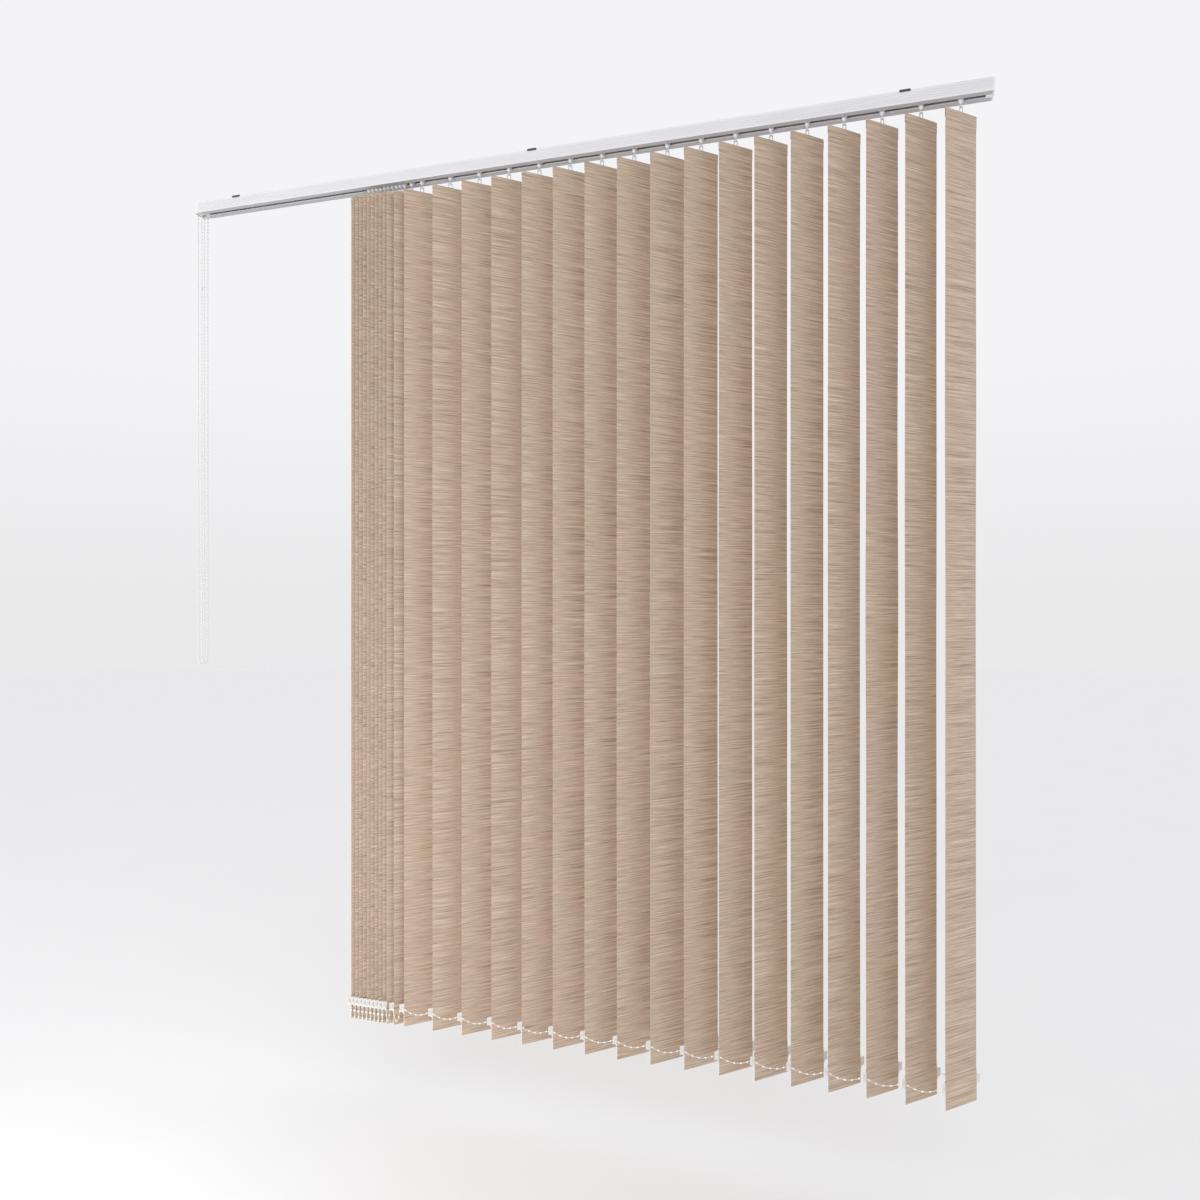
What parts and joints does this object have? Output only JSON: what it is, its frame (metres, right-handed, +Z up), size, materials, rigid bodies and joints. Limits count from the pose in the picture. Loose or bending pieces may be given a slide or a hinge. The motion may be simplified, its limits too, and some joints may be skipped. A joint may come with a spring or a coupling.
{
  "type": "vertical blind",
  "caption": "Vertical blind partly drawn: beige slubbed fabric louvres hang from a white headrail, linked by bead chains, with bead-chain controls at the left end.",
  "frame": {"origin": "screw hole of the middle bracket, on the top face that meets the lintel", "axes": "+X along the headrail towards the fixed end, +Y from the room towards the window, +Z up, along the louvres"},
  "size_m": [1.958, 0.0794, 2.087],
  "materials": {
    "rail_white": "satin powder coat",
    "plastic_white": "moulded",
    "plastic_natural": "moulded, slightly translucent",
    "fabric_beige": "slubbed horizontal weave",
    "steel_dark": "dark phosphate",
    "rod_aluminium": "drawn",
    "chain_white": "moulded beads",
    "cord_white": "braided polyester"
  },
  "bodies": {
    "root": {"headrail": "rail_white", "brackets": "steel_dark", "control_housing": "plastic_white", "idler_cap": "plastic_white", "traverse_cord": "cord_white", "tilt_chain": "chain_white", "draw_chain": "chain_white", "chain_joiner": "chain_white", "truck_28": "plastic_natural"},
    "lead_trucks": {"lead_trucks": "plastic_natural"},
    "louvre_28": {"louvre_28": "fabric_beige"},
    "truck_13": {"truck_13": "plastic_natural"},
    "truck_14": {"truck_14": "plastic_natural"},
    "truck_15": {"truck_15": "plastic_natural"},
    "truck_16": {"truck_16": "plastic_natural"},
    "truck_17": {"truck_17": "plastic_natural"},
    "truck_18": {"truck_18": "plastic_natural"},
    "truck_19": {"truck_19": "plastic_natural"},
    "truck_20": {"truck_20": "plastic_natural"},
    "truck_21": {"truck_21": "plastic_natural"},
    "truck_22": {"truck_22": "plastic_natural"},
    "truck_23": {"truck_23": "plastic_natural"},
    "truck_24": {"truck_24": "plastic_natural"},
    "truck_25": {"truck_25": "plastic_natural"},
    "truck_26": {"truck_26": "plastic_natural"},
    "truck_27": {"truck_27": "plastic_natural"},
    "louvre_01": {"louvre_01": "fabric_beige"},
    "louvre_02": {"louvre_02": "fabric_beige"},
    "louvre_03": {"louvre_03": "fabric_beige"},
    "louvre_04": {"louvre_04": "fabric_beige"},
    "louvre_05": {"louvre_05": "fabric_beige"},
    "louvre_06": {"louvre_06": "fabric_beige"},
    "louvre_07": {"louvre_07": "fabric_beige"},
    "louvre_08": {"louvre_08": "fabric_beige"},
    "louvre_09": {"louvre_09": "fabric_beige"},
    "louvre_10": {"louvre_10": "fabric_beige"},
    "louvre_11": {"louvre_11": "fabric_beige"},
    "louvre_12": {"louvre_12": "fabric_beige"},
    "louvre_13": {"louvre_13": "fabric_beige"},
    "louvre_14": {"louvre_14": "fabric_beige"},
    "louvre_15": {"louvre_15": "fabric_beige"},
    "louvre_16": {"louvre_16": "fabric_beige"},
    "louvre_17": {"louvre_17": "fabric_beige"},
    "louvre_18": {"louvre_18": "fabric_beige"},
    "louvre_19": {"louvre_19": "fabric_beige"},
    "louvre_20": {"louvre_20": "fabric_beige"},
    "louvre_21": {"louvre_21": "fabric_beige"},
    "louvre_22": {"louvre_22": "fabric_beige"},
    "louvre_23": {"louvre_23": "fabric_beige"},
    "louvre_24": {"louvre_24": "fabric_beige"},
    "louvre_25": {"louvre_25": "fabric_beige"},
    "louvre_26": {"louvre_26": "fabric_beige"},
    "louvre_27": {"louvre_27": "fabric_beige"},
    "rod": {"tilt_rod": "rod_aluminium", "tilt_chain_wheel": "plastic_natural"},
    "idler_pulley": {"idler_pulley": "plastic_natural"},
    "drive_pulley": {"drive_pulley": "plastic_natural"},
    "draw_wheel": {"draw_chain_wheel": "plastic_natural"},
    "front_link": {"front_link_chain": "chain_white"},
    "rear_link": {"rear_link_chain": "chain_white"}
  },
  "joints": [
    {"name": "draw", "type": "slide", "parent": "root", "child": "lead_trucks", "axis": [1, 0, 0], "range_m": [0, 1.056], "deforming": ["front_link_chain", "rear_link_chain"]},
    {"name": "tilt", "type": "hinge", "parent": "root", "child": "louvre_28", "pos_m": [0.935, 0, 0], "axis": [0, 0, 1], "range_deg": [-23, 113]},
    {"name": "draw_13", "type": "slide", "parent": "root", "child": "truck_13", "axis": [1, 0, 0], "range_m": [0, 0.99]},
    {"name": "draw_14", "type": "slide", "parent": "root", "child": "truck_14", "axis": [1, 0, 0], "range_m": [0, 0.924]},
    {"name": "draw_15", "type": "slide", "parent": "root", "child": "truck_15", "axis": [1, 0, 0], "range_m": [0, 0.858]},
    {"name": "draw_16", "type": "slide", "parent": "root", "child": "truck_16", "axis": [1, 0, 0], "range_m": [0, 0.792]},
    {"name": "draw_17", "type": "slide", "parent": "root", "child": "truck_17", "axis": [1, 0, 0], "range_m": [0, 0.726]},
    {"name": "draw_18", "type": "slide", "parent": "root", "child": "truck_18", "axis": [1, 0, 0], "range_m": [0, 0.66]},
    {"name": "draw_19", "type": "slide", "parent": "root", "child": "truck_19", "axis": [1, 0, 0], "range_m": [0, 0.594]},
    {"name": "draw_20", "type": "slide", "parent": "root", "child": "truck_20", "axis": [1, 0, 0], "range_m": [0, 0.528]},
    {"name": "draw_21", "type": "slide", "parent": "root", "child": "truck_21", "axis": [1, 0, 0], "range_m": [0, 0.462]},
    {"name": "draw_22", "type": "slide", "parent": "root", "child": "truck_22", "axis": [1, 0, 0], "range_m": [0, 0.396]},
    {"name": "draw_23", "type": "slide", "parent": "root", "child": "truck_23", "axis": [1, 0, 0], "range_m": [0, 0.33]},
    {"name": "draw_24", "type": "slide", "parent": "root", "child": "truck_24", "axis": [1, 0, 0], "range_m": [0, 0.264]},
    {"name": "draw_25", "type": "slide", "parent": "root", "child": "truck_25", "axis": [1, 0, 0], "range_m": [0, 0.198]},
    {"name": "draw_26", "type": "slide", "parent": "root", "child": "truck_26", "axis": [1, 0, 0], "range_m": [0, 0.132]},
    {"name": "draw_27", "type": "slide", "parent": "root", "child": "truck_27", "axis": [1, 0, 0], "range_m": [0, 0.066]},
    {"name": "tilt_01", "type": "hinge", "parent": "lead_trucks", "child": "louvre_01", "pos_m": [-0.444, 0, 0], "axis": [0, 0, 1], "range_deg": [-23, 113]},
    {"name": "tilt_02", "type": "hinge", "parent": "lead_trucks", "child": "louvre_02", "pos_m": [-0.433, 0, 0], "axis": [0, 0, 1], "range_deg": [-23, 113]},
    {"name": "tilt_03", "type": "hinge", "parent": "lead_trucks", "child": "louvre_03", "pos_m": [-0.422, 0, 0], "axis": [0, 0, 1], "range_deg": [-23, 113]},
    {"name": "tilt_04", "type": "hinge", "parent": "lead_trucks", "child": "louvre_04", "pos_m": [-0.411, 0, 0], "axis": [0, 0, 1], "range_deg": [-23, 113]},
    {"name": "tilt_05", "type": "hinge", "parent": "lead_trucks", "child": "louvre_05", "pos_m": [-0.4, 0, 0], "axis": [0, 0, 1], "range_deg": [-23, 113]},
    {"name": "tilt_06", "type": "hinge", "parent": "lead_trucks", "child": "louvre_06", "pos_m": [-0.389, 0, 0], "axis": [0, 0, 1], "range_deg": [-23, 113]},
    {"name": "tilt_07", "type": "hinge", "parent": "lead_trucks", "child": "louvre_07", "pos_m": [-0.378, 0, 0], "axis": [0, 0, 1], "range_deg": [-23, 113]},
    {"name": "tilt_08", "type": "hinge", "parent": "lead_trucks", "child": "louvre_08", "pos_m": [-0.367, 0, 0], "axis": [0, 0, 1], "range_deg": [-23, 113]},
    {"name": "tilt_09", "type": "hinge", "parent": "lead_trucks", "child": "louvre_09", "pos_m": [-0.356, 0, 0], "axis": [0, 0, 1], "range_deg": [-23, 113]},
    {"name": "tilt_10", "type": "hinge", "parent": "lead_trucks", "child": "louvre_10", "pos_m": [-0.345, 0, 0], "axis": [0, 0, 1], "range_deg": [-23, 113]},
    {"name": "tilt_11", "type": "hinge", "parent": "lead_trucks", "child": "louvre_11", "pos_m": [-0.325, 0, 0], "axis": [0, 0, 1], "range_deg": [-23, 113]},
    {"name": "tilt_12", "type": "hinge", "parent": "lead_trucks", "child": "louvre_12", "pos_m": [-0.297, 0, 0], "axis": [0, 0, 1], "range_deg": [-23, 113]},
    {"name": "tilt_13", "type": "hinge", "parent": "truck_13", "child": "louvre_13", "pos_m": [-0.22, 0, 0], "axis": [0, 0, 1], "range_deg": [-23, 113]},
    {"name": "tilt_14", "type": "hinge", "parent": "truck_14", "child": "louvre_14", "pos_m": [-0.143, 0, 0], "axis": [0, 0, 1], "range_deg": [-23, 113]},
    {"name": "tilt_15", "type": "hinge", "parent": "truck_15", "child": "louvre_15", "pos_m": [-0.066, 0, 0], "axis": [0, 0, 1], "range_deg": [-23, 113]},
    {"name": "tilt_16", "type": "hinge", "parent": "truck_16", "child": "louvre_16", "pos_m": [0.011, 0, 0], "axis": [0, 0, 1], "range_deg": [-23, 113]},
    {"name": "tilt_17", "type": "hinge", "parent": "truck_17", "child": "louvre_17", "pos_m": [0.088, 0, 0], "axis": [0, 0, 1], "range_deg": [-23, 113]},
    {"name": "tilt_18", "type": "hinge", "parent": "truck_18", "child": "louvre_18", "pos_m": [0.165, 0, 0], "axis": [0, 0, 1], "range_deg": [-23, 113]},
    {"name": "tilt_19", "type": "hinge", "parent": "truck_19", "child": "louvre_19", "pos_m": [0.242, 0, 0], "axis": [0, 0, 1], "range_deg": [-23, 113]},
    {"name": "tilt_20", "type": "hinge", "parent": "truck_20", "child": "louvre_20", "pos_m": [0.319, 0, 0], "axis": [0, 0, 1], "range_deg": [-23, 113]},
    {"name": "tilt_21", "type": "hinge", "parent": "truck_21", "child": "louvre_21", "pos_m": [0.396, 0, 0], "axis": [0, 0, 1], "range_deg": [-23, 113]},
    {"name": "tilt_22", "type": "hinge", "parent": "truck_22", "child": "louvre_22", "pos_m": [0.473, 0, 0], "axis": [0, 0, 1], "range_deg": [-23, 113]},
    {"name": "tilt_23", "type": "hinge", "parent": "truck_23", "child": "louvre_23", "pos_m": [0.55, 0, 0], "axis": [0, 0, 1], "range_deg": [-23, 113]},
    {"name": "tilt_24", "type": "hinge", "parent": "truck_24", "child": "louvre_24", "pos_m": [0.627, 0, 0], "axis": [0, 0, 1], "range_deg": [-23, 113]},
    {"name": "tilt_25", "type": "hinge", "parent": "truck_25", "child": "louvre_25", "pos_m": [0.704, 0, 0], "axis": [0, 0, 1], "range_deg": [-23, 113]},
    {"name": "tilt_26", "type": "hinge", "parent": "truck_26", "child": "louvre_26", "pos_m": [0.781, 0, 0], "axis": [0, 0, 1], "range_deg": [-23, 113]},
    {"name": "tilt_27", "type": "hinge", "parent": "truck_27", "child": "louvre_27", "pos_m": [0.858, 0, 0], "axis": [0, 0, 1], "range_deg": [-23, 113]},
    {"name": "rod_turn", "type": "hinge", "parent": "root", "child": "rod", "pos_m": [-0.9535, 0, -0.0173], "axis": [1, 0, 0], "range_deg": [-92, 452]},
    {"name": "idler_turn", "type": "hinge", "parent": "root", "child": "idler_pulley", "pos_m": [0.9645, 0, -0.0072], "axis": [0, 0, 1], "range_deg": [0, 3668]},
    {"name": "drive_turn", "type": "hinge", "parent": "root", "child": "drive_pulley", "pos_m": [-0.908, 0, -0.0072], "axis": [0, 0, 1], "range_deg": [0, 3668]},
    {"name": "draw_wheel_turn", "type": "hinge", "parent": "root", "child": "draw_wheel", "pos_m": [-0.9425, 0, -0.0173], "axis": [1, 0, 0], "range_deg": [0, 7336]},
    {"name": "front_link_swing", "type": "hinge", "parent": "louvre_28", "child": "front_link", "pos_m": [0.89929, -0.03571, -2.0415], "axis": [0, 0, 1], "range_deg": [-113, 23]},
    {"name": "rear_link_swing", "type": "hinge", "parent": "louvre_28", "child": "rear_link", "pos_m": [0.97071, 0.03571, -2.0415], "axis": [0, 0, 1], "range_deg": [-113, 23]}
  ],
  "couplings": [
    {"joint": "draw_13", "follows": "draw", "ratio": 0.9375},
    {"joint": "draw_14", "follows": "draw", "ratio": 0.875},
    {"joint": "draw_15", "follows": "draw", "ratio": 0.8125},
    {"joint": "draw_16", "follows": "draw", "ratio": 0.75},
    {"joint": "draw_17", "follows": "draw", "ratio": 0.6875},
    {"joint": "draw_18", "follows": "draw", "ratio": 0.625},
    {"joint": "draw_19", "follows": "draw", "ratio": 0.5625},
    {"joint": "draw_20", "follows": "draw", "ratio": 0.5},
    {"joint": "draw_21", "follows": "draw", "ratio": 0.4375},
    {"joint": "draw_22", "follows": "draw", "ratio": 0.375},
    {"joint": "draw_23", "follows": "draw", "ratio": 0.3125},
    {"joint": "draw_24", "follows": "draw", "ratio": 0.25},
    {"joint": "draw_25", "follows": "draw", "ratio": 0.1875},
    {"joint": "draw_26", "follows": "draw", "ratio": 0.125},
    {"joint": "draw_27", "follows": "draw", "ratio": 0.0625},
    {"joint": "tilt_01", "follows": "tilt", "ratio": 1},
    {"joint": "tilt_02", "follows": "tilt", "ratio": 1},
    {"joint": "tilt_03", "follows": "tilt", "ratio": 1},
    {"joint": "tilt_04", "follows": "tilt", "ratio": 1},
    {"joint": "tilt_05", "follows": "tilt", "ratio": 1},
    {"joint": "tilt_06", "follows": "tilt", "ratio": 1},
    {"joint": "tilt_07", "follows": "tilt", "ratio": 1},
    {"joint": "tilt_08", "follows": "tilt", "ratio": 1},
    {"joint": "tilt_09", "follows": "tilt", "ratio": 1},
    {"joint": "tilt_10", "follows": "tilt", "ratio": 1},
    {"joint": "tilt_11", "follows": "tilt", "ratio": 1},
    {"joint": "tilt_12", "follows": "tilt", "ratio": 1},
    {"joint": "tilt_13", "follows": "tilt", "ratio": 1},
    {"joint": "tilt_14", "follows": "tilt", "ratio": 1},
    {"joint": "tilt_15", "follows": "tilt", "ratio": 1},
    {"joint": "tilt_16", "follows": "tilt", "ratio": 1},
    {"joint": "tilt_17", "follows": "tilt", "ratio": 1},
    {"joint": "tilt_18", "follows": "tilt", "ratio": 1},
    {"joint": "tilt_19", "follows": "tilt", "ratio": 1},
    {"joint": "tilt_20", "follows": "tilt", "ratio": 1},
    {"joint": "tilt_21", "follows": "tilt", "ratio": 1},
    {"joint": "tilt_22", "follows": "tilt", "ratio": 1},
    {"joint": "tilt_23", "follows": "tilt", "ratio": 1},
    {"joint": "tilt_24", "follows": "tilt", "ratio": 1},
    {"joint": "tilt_25", "follows": "tilt", "ratio": 1},
    {"joint": "tilt_26", "follows": "tilt", "ratio": 1},
    {"joint": "tilt_27", "follows": "tilt", "ratio": 1},
    {"joint": "rod_turn", "follows": "tilt", "ratio": 4},
    {"joint": "idler_turn", "follows": "draw", "rad_per_m": 60.606},
    {"joint": "drive_turn", "follows": "draw", "rad_per_m": 60.606},
    {"joint": "draw_wheel_turn", "follows": "draw", "rad_per_m": 121.21},
    {"joint": "front_link_swing", "follows": "tilt", "ratio": -1},
    {"joint": "rear_link_swing", "follows": "tilt", "ratio": -1}
  ]
}
